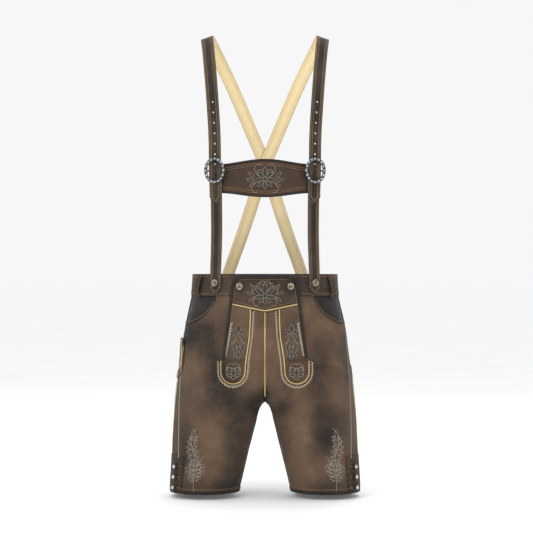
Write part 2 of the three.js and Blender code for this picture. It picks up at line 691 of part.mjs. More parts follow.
const crossbar = wallOver([0, 0.5, 1], crossbarX, -CROSSBAR.thickness, 0, (v, x, lift) =>
  crossbarPoint(x, mix(crossbarTop(x), crossbarBottom(x), v), lift));
add("crossbar", crossbar, "leather");

// Between the braces only, where it shows.
const boundX = range(-1, 1, 16).map((u) => u * 92);
for (const [name, edge, inward] of [["top", crossbarTop, -1], ["bottom", crossbarBottom, 1]]) {
  const trim = wallOver([0, 1], boundX, SEAM_GAP, SEAM_GAP + TRIM, (v, x, lift) =>
    crossbarPoint(x, edge(x) + inward * v * CROSSBAR.binding, lift));
  add(`crossbar_binding_${name}`, trim, "darkLeather");
}

// ---------------------------------------------------------------- buckles

function ovalRing(halfWidth, halfHeight, band, depth) {
  const shape = new THREE.Shape().absellipse(0, 0, halfWidth, halfHeight, 0, 2 * Math.PI);
  shape.holes.push(new THREE.Path().absellipse(0, 0, halfWidth - band, halfHeight - band, 0, 2 * Math.PI));
  return new THREE.ExtrudeGeometry(shape, { depth, bevelEnabled: false, curveSegments: 20 });
}

// Ring in front of the upper brace, bar behind it, and two posts outside the brace's edges that join them.
function buckle() {
  const { halfWidth, halfHeight, band, thickness, back, barBack, barThickness, barHeight } = BUCKLE;
  let solid = solidOf(ovalRing(halfWidth, halfHeight, band, thickness).translate(0, 0, back));
  const bar = new THREE.BoxGeometry(2 * (halfWidth - 2), barHeight, barThickness);
  solid = solid.add(solidOf(bar.translate(0, 0, barBack + barThickness / 2)));
  for (const sign of [-1, 1]) {
    const post = new THREE.BoxGeometry(band - 2.5, barHeight, back + 1 - barBack);
    const x = sign * (halfWidth - band / 2 - 0.4);
    solid = solid.add(solidOf(post.translate(x, 0, (back + 1 + barBack) / 2)));
  }
  return geometryFrom(solid);
}

// The prong leaves the bar, comes up through the brace's hole and rests on the ring's upper edge.
function prong() {
  const path = new THREE.CatmullRomCurve3([
    new THREE.Vector3(0, 3.4, 3.75),
    new THREE.Vector3(0, 9, 3.1),
    new THREE.Vector3(0, 12.2, 4.6),
    new THREE.Vector3(0, 13.6, 8.2),
    new THREE.Vector3(0, 18.5, 12.9),
    new THREE.Vector3(0, 23.5, 14.2),
    new THREE.Vector3(0, 28.5, 14.2),
  ]);
  const round = new THREE.Shape().absarc(0, 0, 1, 0, 2 * Math.PI);
  return new THREE.ExtrudeGeometry(round, { steps: 14, extrudePath: path, curveSegments: 3 });
}

for (const { name, side } of SIDES) {
  const matrix = braceMatrix(side, placeAtHeight(BUCKLE.z), 0);
  add(`buckle_${name}`, buckle().applyMatrix4(matrix), "metal");
  add(`buckle_prong_${name}`, prong().applyMatrix4(matrix), "metal");
}

// ---------------------------------------------------------------- buttons

// A dished button with a raised rim, its back on the plane z = 0.
function buttonGeometry(radius, height) {
  const profile = [
    [0, 0], [0.75 * radius, 0], [radius, 0.45 * height], [0.88 * radius, height],
    [0.66 * radius, 0.95 * height], [0.5 * radius, 0.7 * height], [0, 0.66 * height],
  ].map(([r, h]) => new THREE.Vector2(r, h));
  return new THREE.LatheGeometry(profile, 14).rotateX(Math.PI / 2);
}

function addButton(name, kind, radius, height, at, outward, off) {
  const mesh = add(name, buttonGeometry(radius, height), kind);
  mesh.position.copy(at).addScaledVector(outward, off);
  mesh.quaternion.setFromUnitVectors(new THREE.Vector3(0, 0, 1), outward);
}

const HORN = { radius: 9.2, height: 4.6 };
const LEG_BUTTON = { radius: 8.3, height: 4.4 };
const CLEARANCE = 1.1;

for (const { name, side } of SIDES) {
  const front = braceMatrix(side, placeAtHeight(-550), LOWER_BRACE.thickness);
  const back = braceMatrix(side, placeAtHeight(-553, true), BRACE.backing + SEAM_GAP + BRACE.face);
  for (const [where, matrix] of [["front", front], ["back", back]]) {
    const outward = new THREE.Vector3().setFromMatrixColumn(matrix, 2);
    const at = new THREE.Vector3().setFromMatrixPosition(matrix);
    addButton(`button_strap_${where}_${name}`, "horn", HORN.radius, HORN.height, at, outward, SEAM_GAP);
  }
  const flapX = 54.5;
  const flapDrop = 26.5;
  const flapAt = onFlap(side, flapX, flapDrop, LEATHER);
  addButton(`button_latz_${name}`, "horn", HORN.radius, HORN.height, flapAt,
    outwardAt(side, hipT(flapX, flapDrop), flapDrop), CLEARANCE);

  PLACKET.buttons.forEach((drop, i) => {
    const at = roundPoint(side, PLACKET.buttonT, drop, 1.5);
    const outward = outwardAt(side, PLACKET.buttonT, drop);
    const { radius, height } = LEG_BUTTON;
    addButton(`button_leg_${name}_${i + 1}`, "darkHorn", radius, height, at, outward, CLEARANCE);
  });
}

export default garment;
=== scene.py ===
import math
import bpy
import bmesh
import numpy as np
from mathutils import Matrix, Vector
from mathutils.bvhtree import BVHTree


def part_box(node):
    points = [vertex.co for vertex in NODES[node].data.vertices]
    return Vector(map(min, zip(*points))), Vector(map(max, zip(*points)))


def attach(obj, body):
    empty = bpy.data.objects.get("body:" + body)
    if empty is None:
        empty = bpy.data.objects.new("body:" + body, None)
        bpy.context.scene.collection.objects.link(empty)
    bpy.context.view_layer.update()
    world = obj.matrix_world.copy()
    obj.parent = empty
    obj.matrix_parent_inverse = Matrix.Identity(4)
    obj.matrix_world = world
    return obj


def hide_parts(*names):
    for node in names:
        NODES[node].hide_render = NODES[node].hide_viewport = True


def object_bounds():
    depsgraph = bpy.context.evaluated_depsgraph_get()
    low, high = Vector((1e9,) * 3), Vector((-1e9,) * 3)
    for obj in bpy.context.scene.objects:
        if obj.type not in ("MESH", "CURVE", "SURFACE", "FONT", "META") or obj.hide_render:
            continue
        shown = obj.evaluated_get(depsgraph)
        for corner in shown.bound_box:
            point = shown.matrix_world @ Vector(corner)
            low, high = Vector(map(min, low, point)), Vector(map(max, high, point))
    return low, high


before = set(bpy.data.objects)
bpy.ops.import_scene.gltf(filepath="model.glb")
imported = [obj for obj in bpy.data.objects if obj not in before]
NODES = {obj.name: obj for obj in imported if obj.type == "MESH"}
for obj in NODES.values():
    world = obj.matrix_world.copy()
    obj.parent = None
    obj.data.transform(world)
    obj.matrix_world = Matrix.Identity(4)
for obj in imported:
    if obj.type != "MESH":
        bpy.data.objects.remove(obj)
CAD_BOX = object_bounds()
MM = 0.001
SIDES = (("left", 1), ("right", -1))
# Heights in mm on the garment: the waist's top edge, and where the waistband meets the legs.
WAIST = -531
BAND_FOOT = -581


# ------------------------------------------------------------------ materials

def srgb(r, g, b):
    return tuple(((c / 255) ** 2.2) for c in (r, g, b)) + (1.0,)


def new_material(name):
    mat = bpy.data.materials.new(name)
    mat.use_nodes = True
    tree = mat.node_tree
    return mat, tree, tree.nodes["Principled BSDF"]


def noise(tree, scale, detail=4.0, rough=0.6, stretch=(1, 1, 1)):
    where = tree.nodes.new("ShaderNodeTexCoord")
    turn = tree.nodes.new("ShaderNodeMapping")
    turn.inputs["Scale"].default_value = stretch
    node = tree.nodes.new("ShaderNodeTexNoise")
    node.inputs["Scale"].default_value = scale
    node.inputs["Detail"].default_value = detail
    node.inputs["Roughness"].default_value = rough
    tree.links.new(where.outputs["Object"], turn.inputs["Vector"])
    tree.links.new(turn.outputs["Vector"], node.inputs["Vector"])
    return node.outputs["Fac"]


def ramp(tree, value, low, high, a, b):
    node = tree.nodes.new("ShaderNodeValToRGB")
    node.color_ramp.elements[0].position = low
    node.color_ramp.elements[1].position = high
    node.color_ramp.elements[0].color = a
    node.color_ramp.elements[1].color = b
    tree.links.new(value, node.inputs["Fac"])
    return node.outputs["Color"]


def blend(tree, factor, a, b, mode="MIX"):
    node = tree.nodes.new("ShaderNodeMix")
    node.data_type = "RGBA"
    node.blend_type = mode
    for value, socket in ((factor, node.inputs[0]), (a, node.inputs[6]), (b, node.inputs[7])):
        if hasattr(value, "is_output"):
            tree.links.new(value, socket)
        else:
            socket.default_value = value
    return node.outputs[2]


def bump(tree, shader, height, strength, distance):
    node = tree.nodes.new("ShaderNodeBump")
    node.inputs["Strength"].default_value = strength
    node.inputs["Distance"].default_value = distance
    tree.links.new(height, node.inputs["Height"])
    tree.links.new(node.outputs["Normal"], shader.inputs["Normal"])


NAP_SCALE = 900


def leather(name, base, dark, light, roughness=0.8, patina_and_shade=0.6):
    """Napped leather: cloudy dark patina plus the airbrushed patina and painted shade of the 'shade'
    attribute, lighter rubbed patches, fine nap and soft roughness changes.
    """
    mat, tree, shader = new_material(name)
    cloud = noise(tree, 8, 6, 0.66)
    rubbed = noise(tree, 34, 6, 0.7)
    nap = noise(tree, NAP_SCALE, 3, 0.7)
    # The 'shade' attribute adds airbrushed patina and painted shade to the cloud, and painted light where it
    # is negative, before the dark colour is mixed in.
    placed = tree.nodes.new("ShaderNodeAttribute")
    placed.attribute_name = "shade"
    total = tree.nodes.new("ShaderNodeMath")
    total.operation = "ADD"
    tree.links.new(cloud, total.inputs[0])
    tree.links.new(placed.outputs["Fac"], total.inputs[1])
    dark_mask = ramp(tree, total.outputs[0], 0.33, 0.8, (0, 0, 0, 1), (patina_and_shade, patina_and_shade, patina_and_shade, 1))
    light_mask = ramp(tree, rubbed, 0.5, 0.75, (0, 0, 0, 1), (0.7, 0.7, 0.7, 1))
    colour = blend(tree, light_mask, base, light)
    colour = blend(tree, dark_mask, colour, dark)
    speck = ramp(tree, nap, 0.3, 0.75, (0.78, 0.78, 0.78, 1), (1.16, 1.16, 1.16, 1))
    tree.links.new(blend(tree, 1.0, colour, speck, "MULTIPLY"), shader.inputs["Base Color"])
    rough = ramp(tree, rubbed, 0.3, 0.8, (roughness + 0.1,) * 3 + (1,), (roughness - 0.12,) * 3 + (1,))
    tree.links.new(rough, shader.inputs["Roughness"])
    shader.inputs["Sheen Weight"].default_value = 0.04
    shader.inputs["Specular IOR Level"].default_value = 0.2
    bump(tree, shader, nap, 0.4, 0.0007)
    return mat


def thread(name, colour, shade, roughness=0.6):
    mat, tree, shader = new_material(name)
    twist = noise(tree, 1500, 2, 0.6)
    tree.links.new(ramp(tree, twist, 0.3, 0.7, shade, colour), shader.inputs["Base Color"])
    shader.inputs["Roughness"].default_value = roughness
    bump(tree, shader, twist, 0.5, 0.0003)
    return mat


def silver(name, low, high):
    """Worn silver plating, dark in its hollows."""
    mat, tree, shader = new_material(name)
    worn = noise(tree, 420, 5, 0.65)
    tree.links.new(ramp(tree, worn, 0.36, 0.62, low, high), shader.inputs["Base Color"])
    shader.inputs["Metallic"].default_value = 0.95
    rough = ramp(tree, worn, 0.3, 0.7, (0.55, 0.55, 0.55, 1), (0.26, 0.26, 0.26, 1))
    tree.links.new(rough, shader.inputs["Roughness"])
    bump(tree, shader, worn, 0.4, 0.0005)
    return mat


def horn(name, pale, brown, dark):
    """Horn with a streaky body."""
    mat, tree, shader = new_material(name)
    streak = noise(tree, 160, 4, 0.6, (1, 1, 0.25))
    cloud = noise(tree, 95, 3, 0.5)
    colour = blend(tree, ramp(tree, cloud, 0.45, 0.62, (0, 0, 0, 1), (1, 1, 1, 1)), pale, brown)
    colour = blend(tree, ramp(tree, streak, 0.55, 0.72, (0, 0, 0, 1), (0.8, 0.8, 0.8, 1)), colour, dark)
    tree.links.new(colour, shader.inputs["Base Color"])
    shader.inputs["Roughness"].default_value = 0.32
    bump(tree, shader, streak, 0.15, 0.0003)
    return mat


BROWN = leather("leather_brown", srgb(102, 82, 66), srgb(40, 37, 36), srgb(118, 97, 79), patina_and_shade=0.94)
BAND = leather("leather_band", srgb(78, 64, 54), srgb(38, 35, 34), srgb(104, 87, 72), patina_and_shade=0.9)
STRAP = leather("leather_strap", srgb(84, 70, 59), srgb(38, 36, 35), srgb(108, 90, 74), 0.62, 0.95)
CHEST = leather("leather_chest", srgb(72, 56, 47), srgb(40, 34, 31), srgb(88, 70, 58), 0.6, 0.6)
DARK = leather("leather_dark", srgb(46, 42, 40), srgb(28, 26, 25), srgb(64, 59, 55), 0.6, 0.6)
CREAM = leather("leather_cream", srgb(238, 217, 170), srgb(220, 196, 146), srgb(246, 229, 190), 0.7, 0.5)
PIPING = leather("leather_piping", srgb(200, 176, 122), srgb(150, 128, 86), srgb(222, 200, 150), 0.6, 0.7)
RIM = leather("horn_rim", srgb(52, 46, 42), srgb(34, 30, 28), srgb(88, 78, 68), 0.4, 0.6)
TAN_THREAD = thread("thread_tan", srgb(176, 146, 104), srgb(128, 102, 70))
WHITE_THREAD = thread("thread_off_white", srgb(222, 212, 190), srgb(176, 164, 140))
BEIGE_THREAD = thread("thread_beige", srgb(158, 144, 122), srgb(108, 97, 82))
GREY_THREAD = thread("thread_grey", srgb(178, 170, 156), srgb(128, 121, 110))
DARK_THREAD = thread("thread_dark", srgb(48, 44, 42), srgb(26, 24, 23), 0.4)
SILVER = silver("antique_silver", srgb(16, 16, 16), srgb(92, 94, 96))
POLISHED = silver("polished_silver", srgb(130, 128, 122), srgb(236, 232, 222))
HORN = horn("horn_light", srgb(226, 214, 192), srgb(140, 108, 78), srgb(70, 54, 42))
DARK_HORN = horn("horn_dark", srgb(70, 66, 62), srgb(52, 46, 42), srgb(34, 30, 28))


# ------------------------------------------------------------------ creases

# Soft troughs in the leather, in mm: side (0 both), face (-1 front, 1 back), two ends (x, z),
# half width and depth.
CREASES = [
    (1, -1, 22, -800, 78, -768, 6, 2.6), (-1, -1, 20, -802, 70, -774, 6, 2.8),
    (1, -1, 26, -822, 110, -800, 8, 2.4), (-1, -1, 30, -826, 96, -812, 8, 2.2),
    (1, -1, 44, -872, 128, -850, 10, 1.6), (-1, -1, 40, -868, 120, -858, 10, 1.8),
    (1, -1, 6, -700, 26, -660, 6, 1.4), (-1, -1, 8, -716, 27, -684, 6, 1.4),
    (1, -1, 118, -700, 162, -668, 9, 2.0), (-1, -1, 116, -712, 160, -690, 9, 1.8),
    (1, -1, 112, -772, 176, -752, 10, 1.8), (-1, -1, 114, -784, 172, -770, 10, 1.6),
    (0, -1, 92, -930, 130, -985, 13, 1.5),
    (1, 1, 12, -806, 84, -790, 9, 3.4), (-1, 1, 14, -808, 88, -796, 9, 3.2),
    (1, 1, 24, -836, 120, -830, 10, 2.6), (-1, 1, 22, -842, 112, -832, 10, 2.8),
    (0, 1, 40, -880, 140, -868, 12, 1.8), (0, 1, 60, -604, 128, -640, 14, 2.0),
    (1, 1, 70, -930, 100, -990, 13, 1.6), (-1, 1, 90, -925, 116, -985, 13, 1.6),
]


def crease(points):
    """How far in each point goes, in metres."""
    depth = np.zeros(len(points))
    x, y, z = points[:, 0] / MM, points[:, 1], points[:, 2] / MM
    for side, face, x0, z0, x1, z1, width, deep in CREASES:
        for sign in ((1, -1) if side == 0 else (side,)):
            a, b = np.array((sign * x0, z0)), np.array((sign * x1, z1))
            along = b - a
            rel = np.stack((x, z), 1) - a
            t = np.clip(rel @ along / (along @ along), 0, 1)
            away = np.linalg.norm(rel - t[:, None] * along, axis=1)
            fade = np.sin(math.pi * np.clip(0.08 + 0.84 * t, 0, 1)) ** 0.6
            ridge = 0.45 * np.exp(-(((away - 1.9 * width) / width) ** 2))
            pull = deep * fade * (np.exp(-((away / width) ** 2)) - ridge)
            depth += np.where(y * face > 0, pull, 0)
    wave = 0.5 * np.sin(x / 23 + z / 41) * np.sin(z / 31 - x / 57 + y * 20)
    inside = (z < -590) & (z > -1008)
    return np.where(inside, (depth + wave) * MM, 0)


# ------------------------------------------------------------------ brushed patina and painted shade

# Soft spots of airbrushed patina together with painted shade at the leg sides, crotch, hems and waistband
# sides, and painted light across the thigh middles: x, z, half width, half height (mm), darker (+) or lighter
# (-).
PATINA_AND_SHADE = [
    (-124, -690, 34, 70, 0.2), (-96, -790, 46, 60, 0.2), (-176, -905, 20, 80, 0.26),
    (-152, -750, 26, 60, -0.10), (-113, -900, 34, 70, -0.24), (-60, -930, 26, 80, 0.10),
    (-24, -820, 30, 26, 0.26), (-120, -1010, 90, 26, 0.24), (-178, -660, 26, 40, 0.22),
    (-120, -620, 30, 30, -0.12), (124, -640, 40, 34, -0.12), (184, -700, 22, 70, 0.16),
    (122, -872, 34, 60, 0.22), (116, -730, 26, 80, 0.2), (78, -868, 24, 80, -0.20),
    (42, -826, 24, 24, 0.24), (150, -800, 30, 60, -0.14), (160, -900, 30, 60, 0.10),
    (86, -980, 36, 40, -0.10), (150, -1010, 70, 26, 0.24), (20, -700, 20, 60, -0.16),
    (-20, -700, 18, 60, -0.14), (0, -790, 20, 20, 0.20), (0, -545, 60, 14, 0.10),
    (-150, -556, 30, 30, 0.10), (150, -556, 30, 30, 0.12), (-70, -640, 22, 26, 0.06),
    (70, -640, 22, 26, 0.10),
]


# Sums the soft spots per point: airbrushed patina with painted shade and painted light.
def shade_of(points):
    x, z = points[:, 0] / MM, points[:, 2] / MM
    total = np.zeros(len(points))
    for x0, z0, wide, tall, amount in PATINA_AND_SHADE:
        total += amount * np.exp(-(((x - x0) / wide) ** 2) - ((z - z0) / tall) ** 2)
    return total


def paint(ob, values):
    layer = ob.data.attributes.new("shade", "FLOAT", "POINT")
    layer.data.foreach_set("value", np.asarray(values, dtype=np.float32))


# ------------------------------------------------------------------ pieces made from the frame's own form

SAME_POINT = 1e-6
FLAT_ENOUGH = 0.22       # triangles this close to flat join into one face (radians)
RIM_ANGLE = 0.85         # edges sharper than this keep their shape (radians)
RIM_CREASE = 0.75
RIM_LENGTH = 2.6 * MM    # shorter edges are a wall's thickness, not a rim
STRAIGHT_ON = 2.65       # two rims that meet straighter than this make no corner (radians)
LEG_AXIS = 0.1           # a leg's middle line, left or right of the middle (m)
TUCK_UP = 6 * MM         # how far the leg tops go up behind the waistband, and how far in
TUCK_IN = 0.9 * MM
TUCK_FADE = 1.2


def smoothed(node, name, levels, folds=False):
    """A finer, round version of a node's form, with its rims kept."""
    me = NODES[node].data.copy()
    bm = bmesh.new()
    bm.from_mesh(me)
    bmesh.ops.remove_doubles(bm, verts=bm.verts, dist=SAME_POINT)
    bmesh.ops.join_triangles(bm, faces=bm.faces, angle_face_threshold=FLAT_ENOUGH,
                             angle_shape_threshold=1.2)
    layer = bm.edges.layers.float.get("crease_edge") or bm.edges.layers.float.new("crease_edge")
    for e in bm.edges:
        if len(e.link_faces) == 2 and e.calc_face_angle(0) > RIM_ANGLE:
            e[layer] = RIM_CREASE
    corner = bm.verts.layers.float.get("crease_vert") or bm.verts.layers.float.new("crease_vert")
    for v in bm.verts:
        rims = [(e.other_vert(v).co - v.co).normalized() for e in v.link_edges
                if e[layer] and e.calc_length() > RIM_LENGTH]
        if len(rims) == 1 or (len(rims) == 2 and rims[0].angle(rims[1]) < STRAIGHT_ON):
            v[corner] = 1.0
    bm.to_mesh(me)
    bm.free()
    ob = bpy.data.objects.new(name, me)
    bpy.context.scene.collection.objects.link(ob)
    sub = ob.modifiers.new("round", "SUBSURF")
    sub.levels = sub.render_levels = levels
    done = bpy.data.meshes.new_from_object(ob.evaluated_get(bpy.context.evaluated_depsgraph_get()))
    ob.modifiers.clear()
    ob.data = done
    if folds:
        n = len(done.vertices)
        co = np.empty(n * 3)
        done.vertices.foreach_get("co", co)
        co = co.reshape(n, 3)
        side = np.where(co[:, 0] < 0, -1, 1)
        axis = np.stack((side * LEG_AXIS, np.zeros(n)), 1)
        out = co[:, :2] - axis
        out /= np.maximum(1e-6, np.linalg.norm(out, axis=1))[:, None]
        co[:, :2] -= out * crease(co)[:, None]
        if "leg" in node or "facing" in node:
            tucked = np.clip((co[:, 2] / MM - BAND_FOOT) / TUCK_FADE, 0, 1)
            co[:, 2] += tucked * TUCK_UP
            co[:, :2] -= out * (tucked * TUCK_IN)[:, None]
        done.vertices.foreach_set("co", co.ravel())
    done.polygons.foreach_set("use_smooth", [True] * len(done.polygons))
    # Each piece carries the airbrushed patina, painted shade and painted light of the spot table as its
    # 'shade' attribute.
    paint(ob, shade_of(np.array([tuple(v.co) for v in done.vertices])))
    return ob


def finish_piece(ob, material):
    ob.data.materials.clear()
    ob.data.materials.append(material)
    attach(ob, "root")
    return ob


# node, material, slot, levels, folds, flat size (m), flat area (m2), what it rests on
LOOKS = []
for s, _ in SIDES:
    LOOKS += [
        (f"front_leg_{s}", BROWN, "leather", 2, True, (0.34, 0.44), 0.114, "waistband_back"),
        (f"back_leg_{s}", BROWN, "leather", 2, True, (0.35, 0.44), 0.125, "waistband_back"),
        (f"waistband_front_{s}", BAND, "leather", 2, False, (0.225, 0.048), 0.0108, f"lower_strap_{s}"),
        (f"latz_side_{s}", BROWN, "leather", 2, True, (0.063, 0.125), 0.0063, f"front_leg_{s}"),
        (f"latz_end_{s}", BROWN, "leather", 1, True, (0.055, 0.053), 0.0025, f"front_leg_{s}"),
        (f"pocket_facing_{s}", DARK, "dark_leather", 2, True, (0.115, 0.086), 0.0087, f"front_leg_{s}"),
        (f"side_placket_{s}", BAND, "leather", 2, True, (0.069, 0.077), 0.0051, f"front_leg_{s}"),
        (f"belt_loop_{s}", BAND, "leather", 2, False, (0.018, 0.055), 0.0009, f"waistband_front_{s}"),
        (f"strap_{s}", STRAP, "leather", 1, False, (0.0285, 1.10), 0.0305, f"strap_backing_{s}"),
        (f"strap_backing_{s}", CREAM, "cream_leather", 1, False, (0.0275, 1.10), 0.0292, f"strap_{s}"),
        (f"lower_strap_{s}", STRAP, "leather", 2, False, (0.0265, 0.28), 0.0072, f"buckle_{s}"),
    ]
LOOKS += [
    ("waistband_back", BAND, "leather", 2, False, (0.462, 0.048), 0.0221, "strap_left"),
    ("latz_top", BAND, "leather", 1, True, (0.16, 0.079), 0.0105, "waistband_front_left"),
    ("knife_pocket_right", BROWN, "leather", 2, True, (0.072, 0.094), 0.0062, "front_leg_right"),
    ("belt_loop_back", BAND, "leather", 2, False, (0.016, 0.056), 0.00085, "waistband_back"),
    ("crossbar", CHEST, "leather", 2, False, (0.245, 0.084), 0.0171, "lower_strap_left"),
]
SHELLS = {}
for node, material, slot, levels, folds, flat, area, rests in LOOKS:
    piece = finish_piece(smoothed(node, "look_" + node, levels, folds), material)
    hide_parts(node)
    SHELLS[node] = piece

TRIMS = [("latz_binding", DARK), ("crossbar_binding_top", DARK), ("crossbar_binding_bottom", DARK),
         ("piping_v_seam", PIPING), ("piping_centre", PIPING), ("piping_knife_pocket", PIPING)]
for s, _ in SIDES:
    TRIMS += [(f"pocket_binding_{s}", DARK), (f"hem_band_{s}", DARK),
              (f"piping_tongue_{s}", PIPING), (f"piping_side_{s}", PIPING)]
for node, material in TRIMS:
    slot = "dark_leather" if material is DARK else "cream_leather"
    piece = finish_piece(smoothed(node, "look_" + node, 2, True), material)
    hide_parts(node)
    SHELLS[node] = piece

for node, ob in NODES.items():
    if node.startswith("button"):
        material = DARK_HORN if "leg" in node else HORN
    elif node.startswith("buckle"):
        material = SILVER
    else:
        continue
    ob.data.materials.clear()
    ob.data.materials.append(material)
    round_off = ob.modifiers.new("round", "BEVEL" if "buckle_l" in node or "buckle_r" in node else "SUBSURF")
    if round_off.type == "BEVEL":
        round_off.width = 0.9 * MM
        round_off.segments = 2
        round_off.limit_method = "ANGLE"
    else:
        round_off.levels = round_off.render_levels = 2


# ------------------------------------------------------------------ laying thread on the leather

def tree_of(names):
    points, faces = [], []
    for name in names:
        me = (SHELLS.get(name) or NODES[name]).data
        start = len(points)
        points.extend(tuple(v.co) for v in me.vertices)
        faces.extend([start + i for i in p.vertices] for p in me.polygons)
    return BVHTree.FromPolygons(points, faces)


GARMENT = tree_of([n for n in SHELLS if "piping" not in n and "strap" not in n and "crossbar" not in n
                   and "belt_loop" not in n])
CROSSBAR = tree_of(["crossbar"])
STRAPS = {s: tree_of([f"strap_{s}"]) for s, _ in SIDES}
BACKING = {s: tree_of([f"strap_backing_{s}"]) for s, _ in SIDES}
LOWER = {s: tree_of([f"lower_strap_{s}"]) for s, _ in SIDES}


def on_front(tree, x, z):
    """The leather's front at x, z (mm): its point and outward normal, or None."""
    p, n, _, _ = tree.ray_cast(Vector((x * MM, -0.4, z * MM)), Vector((0, 1, 0)), 0.4)
    return (p, -n if n.y > 0 else n) if p else None


def resample(points, spacing):
    points = [Vector(p) for p in points]
    run = [0.0]
    for a, b in zip(points, points[1:]):
        run.append(run[-1] + (b - a).length)
    count = max(2, int(round(run[-1] / spacing)) + 1)
    out, k = [], 0
    for i in range(count):
        at = run[-1] * i / (count - 1)
        while k < len(run) - 2 and run[k + 1] < at:
            k += 1
        t = (at - run[k]) / max(1e-9, run[k + 1] - run[k])
        out.append(points[k].lerp(points[k + 1], t))
    return out


class Threads:
    """Collects fine tubes and padded fills into one piece."""

    def __init__(self):
        self.points, self.faces = [], []

    def tube(self, path, radius, sides=5, taper=False):
        start = len(self.points)
        for i, p in enumerate(path):
            a, b = path[max(0, i - 1)], path[min(len(path) - 1, i + 1)]
            along = (b - a).normalized()
            u = along.cross(Vector((0.13, 0.27, 1))).normalized()
            v = along.cross(u)
            r = radius * (0.55 if taper and i in (0, len(path) - 1) else 1)
            for k in range(sides):
                angle = 2 * math.pi * k / sides
                self.points.append(p + r * (math.cos(angle) * u + math.sin(angle) * v))
        for i in range(len(path) - 1):
            for k in range(sides):
                a, b = start + i * sides + k, start + i * sides + (k + 1) % sides
                self.faces.append((a, b, b + sides, a + sides))
        self.faces.append([start + k for k in range(sides)][::-1])
        self.faces.append([start + (len(path) - 1) * sides + k for k in range(sides)])

    def stitches(self, path, length=3.2, gap=1.1, radius=0.42):
        """Separate stitches along a path that lies on the leather."""
        fine = resample(path, (length + gap) * MM / 4)
        for i in range(0, len(fine) - 4, 4):
            self.tube(fine[i:i + 4], radius * MM, 5, True)

    def fill(self, rings):
        start, n = len(self.points), len(rings[0])
        for ring in rings:
            self.points.extend(ring)
        for r in range(len(rings) - 1):
            for k in range(n):
                a, b = start + r * n + k, start + r * n + (k + 1) % n
                self.faces.append((a, b, b + n, a + n))
        self.faces.append([start + (len(rings) - 1) * n + k for k in range(n)])
        self.faces.append([start + k for k in range(n)][::-1])

    def piece(self, name, material, slot):
        me = bpy.data.meshes.new(name)
        me.from_pydata([tuple(p) for p in self.points], [], self.faces)
        bm = bmesh.new()
        bm.from_mesh(me)
        bmesh.ops.recalc_face_normals(bm, faces=bm.faces)
        bm.to_mesh(me)
        bm.free()
        me.polygons.foreach_set("use_smooth", [True] * len(me.polygons))
        ob = bpy.data.objects.new(name, me)
        bpy.context.scene.collection.objects.link(ob)
        return finish_piece(ob, material)


THREAD_LIFT = 0.35 * MM


def lay(tree, line):
    """A line of (x, z) laid on the leather, lifted off it by a little."""
    out = []
    for p in resample([(x, z, 0) for x, z in line], 2.0):
        hit = on_front(tree, p.x, p.y)
        if hit:
            out.append(hit[0] + hit[1] * THREAD_LIFT)
    return out


def scalloped(path, threads, pitch=6.2, width=5.0, radius=0.72):
    """A chain of small arches along a path."""
    fine = resample(path, pitch * MM / 6)
    line = []
    for i, p in enumerate(fine):
        along = (fine[min(i + 1, len(fine) - 1)] - fine[max(0, i - 1)]).normalized()
        across = along.cross(Vector((0, -1, 0)) if abs(along.y) < 0.9 else Vector((1, 0, 0))).normalized()
        line.append(p + across * width * MM * (abs(math.sin(math.pi * i / 6)) - 0.5))
    threads.tube(line, radius * MM, 5)


# ------------------------------------------------------------------ seams

tan, white = Threads(), Threads()
TONGUE_EDGE = ((31, -591), (33.5, -661), (38, -694), (42, -721), (43.5, -745))


def flap_edge(z):
    """How far the flap's slanting side is from the middle at height z."""
    return 70.5 + 0.125 * (WAIST - z)


def tongue_outline(off):
    """The tongue's inner edge and round end, moved outward by off."""
    middle_x, middle_z, round_end, outer_top = 70, -745, 26.5, -722
    reach = round_end + off
    line = [(x - off, z) for x, z in TONGUE_EDGE]
    line += [(middle_x + reach * math.cos(a), middle_z + reach * math.sin(a))
             for a in np.linspace(math.pi, 2 * math.pi, 17)]
    return line + [(middle_x + reach, outer_top)]


def mirrored_line(line, side):
    return [(side * x, z) for x, z in line]


def on_garment(line, side=1):
    return lay(GARMENT, mirrored_line(line, side))


SIDE_SEAM = [(180, -676), (188, -765), (190.5, -855), (191, -938)]
BUTTONHOLES = (WAIST - 426, WAIST - 449, WAIST - 473)
POCKET_MOUTH = [(106 + 70 * (1 - math.cos(a) ** 1.25), -574 - 64 * math.sin(a) ** 1.25)
                for a in np.linspace(0.05, 1.5, 20)]
for s, side in SIDES:
    scalloped(on_garment([(31 - 6.5, -612)] + tongue_outline(6.5)[1:], side), white)
    scalloped(on_garment([(72.5, -637), (79, -676), (86, -710)], side), white)
    tan.stitches(on_garment([(27.5, -612)] + tongue_outline(2.6)[1:], side))
    tan.stitches(on_garment([(flap_edge(z) - 8.5, z) for z in (-560, -640, -712)], side))
    for z in (WAIST - 5, WAIST - 43):
        tan.stitches(on_garment([(x, z) for x in np.linspace(80, 162, 30)], side))
    tan.stitches(on_garment(POCKET_MOUTH, side))
    for z in (-1009, -1006):
        tan.stitches(on_garment([(x, z) for x in np.linspace(60, 206, 50)], side))
    scalloped(on_garment(SIDE_SEAM, side), white, 5.2, 3.0, 0.5)
    for z in BUTTONHOLES:
        spot = on_front(GARMENT, side * 190, z)
        if spot:
            hole = [spot[0] + spot[1] * 0.5 * MM + Vector((dx * MM, 0, 0)) for dx in (-3.5, 0, 3.5)]
            tan.tube(hole, 0.6 * MM)

